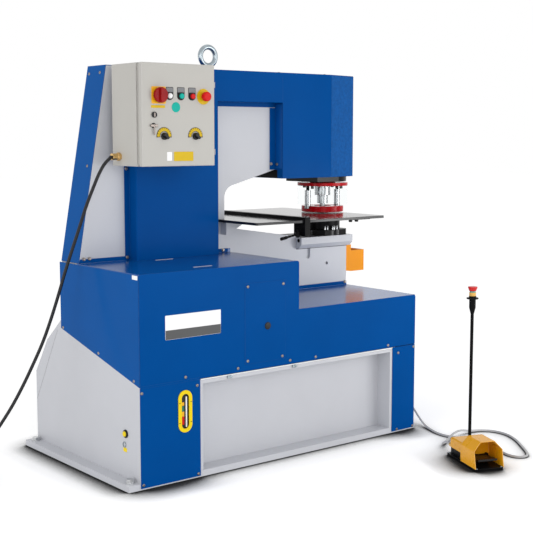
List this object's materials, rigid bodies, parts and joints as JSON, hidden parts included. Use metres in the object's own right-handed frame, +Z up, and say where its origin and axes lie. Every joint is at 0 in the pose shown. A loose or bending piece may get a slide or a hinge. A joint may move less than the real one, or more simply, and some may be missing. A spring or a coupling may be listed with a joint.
{
  "type": "hydraulic punching machine",
  "caption": "Floor-standing hydraulic punch: welded C-frame on a boxed base, vertical ram with stripper and die, sheet table, control cabinet and separate foot pedal.",
  "frame": {"origin": "centre of the base plate's underside", "axes": "+Z up, +X along the base towards the open throat, -Y towards the operator"},
  "size_m": [2.5007, 1.6671, 1.821],
  "materials": {
    "blue_paint": "gloss",
    "grey_paint": "satin",
    "cabinet_paint": "satin",
    "motor_grey": "satin",
    "cast_iron": "matte",
    "steel": "satin",
    "dark_steel": "satin",
    "black_steel": "satin",
    "black_paint": "satin",
    "zinc": "satin",
    "red_paint": "gloss",
    "orange_paint": "gloss",
    "yellow_paint": "gloss",
    "yellow_plastic": "gloss",
    "red_plastic": "gloss",
    "green_plastic": "gloss",
    "black_plastic": "matte",
    "brass": "satin",
    "clear": "gloss",
    "black_rubber": "matte",
    "grey_rubber": "matte"
  },
  "bodies": {
    "machine": {"front_panel": "blue_paint", "front_left_cover": "blue_paint", "right_post_cover": "blue_paint", "side_panel_left": "blue_paint", "right_end_panel": "blue_paint", "high_top_cover": "blue_paint", "low_top_cover": "blue_paint", "rear_edge_cover": "blue_paint", "column_cover": "blue_paint", "head_cover": "blue_paint", "base_plate": "grey_paint", "recess_liner": "grey_paint", "lower_side_left": "grey_paint", "rear_cover": "grey_paint", "c_frame": "grey_paint", "bolster": "grey_paint", "anchor_bolts": "steel", "sight_gauge": "yellow_plastic", "tank": "grey_paint", "motor": "motor_grey", "pump": "cast_iron", "pressure_pipe": "steel", "eye_bolt": "zinc", "cylinder_barrel": "steel", "cylinder_flange": "black_steel", "stripper_plate": "red_paint", "guide_rods": "black_steel", "punch_guard": "clear", "die_holder": "black_steel", "die": "steel", "table_support": "grey_paint", "table_plate": "dark_steel", "slug_chute": "orange_paint", "cabinet_box": "cabinet_paint", "cable_glands": "brass", "pedal_base": "black_paint", "pedal_hood": "yellow_paint", "mast": "black_paint", "estop_collar": "yellow_plastic", "mains_cable": "black_rubber", "mains_coil": "black_rubber", "mains_plug": "red_plastic", "pedal_cable": "grey_rubber"},
    "ram_body": {"ram": "steel", "coupling_nut": "steel", "punch": "steel"},
    "stripper": {"stripper_ring": "red_paint", "guide_sleeves": "steel"},
    "fence_body": {"fence": "black_steel"},
    "lever": {"clamp_lever": "black_steel"},
    "door": {"cabinet_door": "cabinet_paint"},
    "main_switch_body": {"main_switch": "red_plastic"},
    "start": {"start_button": "green_plastic"},
    "stop": {"stop_button": "red_plastic"},
    "estop": {"estop_head": "red_plastic"},
    "selector_left_body": {"selector_left": "black_plastic"},
    "selector_right_body": {"selector_right": "black_plastic"},
    "lock": {"door_lock": "black_plastic"},
    "treadle_body": {"treadle": "black_plastic"},
    "mast_button": {"mast_estop": "red_plastic"}
  },
  "joints": [
    {"name": "ram_stroke", "type": "slide", "parent": "machine", "child": "ram_body", "axis": [0, 0, -1], "range_m": [0, 0.04]},
    {"name": "stripper_lift", "type": "slide", "parent": "machine", "child": "stripper", "axis": [0, 0, 1], "range_m": [0, 0.02]},
    {"name": "fence_slide", "type": "slide", "parent": "machine", "child": "fence_body", "axis": [1, 0, 0], "range_m": [-0.22, 0.29]},
    {"name": "lever_swing", "type": "hinge", "parent": "fence_body", "child": "lever", "pos_m": [0.2357, -0.2403, 0.9567], "axis": [0, 0, 1], "range_deg": [0, 80]},
    {"name": "door_swing", "type": "hinge", "parent": "machine", "child": "door", "pos_m": [-0.232, -0.228, 1.489], "axis": [0, 0, 1], "range_deg": [0, 110]},
    {"name": "main_switch_turn", "type": "hinge", "parent": "door", "child": "main_switch_body", "pos_m": [-0.519, -0.25, 1.569], "axis": [0, -1, 0], "range_deg": [0, 90]},
    {"name": "start_press", "type": "slide", "parent": "door", "child": "start", "axis": [0, 1, 0], "range_m": [0, 0.004], "stiffness_N_per_m": 600},
    {"name": "stop_press", "type": "slide", "parent": "door", "child": "stop", "axis": [0, 1, 0], "range_m": [0, 0.004], "stiffness_N_per_m": 600},
    {"name": "estop_press", "type": "slide", "parent": "door", "child": "estop", "axis": [0, 1, 0], "range_m": [0, 0.005]},
    {"name": "selector_left_turn", "type": "hinge", "parent": "door", "child": "selector_left_body", "pos_m": [-0.494, -0.25, 1.402], "axis": [0, -1, 0], "range_deg": [0, 215]},
    {"name": "selector_right_turn", "type": "hinge", "parent": "door", "child": "selector_right_body", "pos_m": [-0.337, -0.25, 1.402], "axis": [0, -1, 0], "range_deg": [0, 215]},
    {"name": "lock_turn", "type": "hinge", "parent": "door", "child": "lock", "pos_m": [-0.542, -0.25, 1.489], "axis": [0, 1, 0], "range_deg": [0, 90]},
    {"name": "treadle_press", "type": "hinge", "parent": "machine", "child": "treadle_body", "pos_m": [0.5822, -1.02888, 0.032], "axis": [0.9272, -0.3746, 0], "range_deg": [0, 8], "stiffness_Nm_per_rad": 6, "springref_deg": -11.46},
    {"name": "mast_button_press", "type": "slide", "parent": "machine", "child": "mast_button", "axis": [0, 0, -1], "range_m": [0, 0.005]}
  ]
}
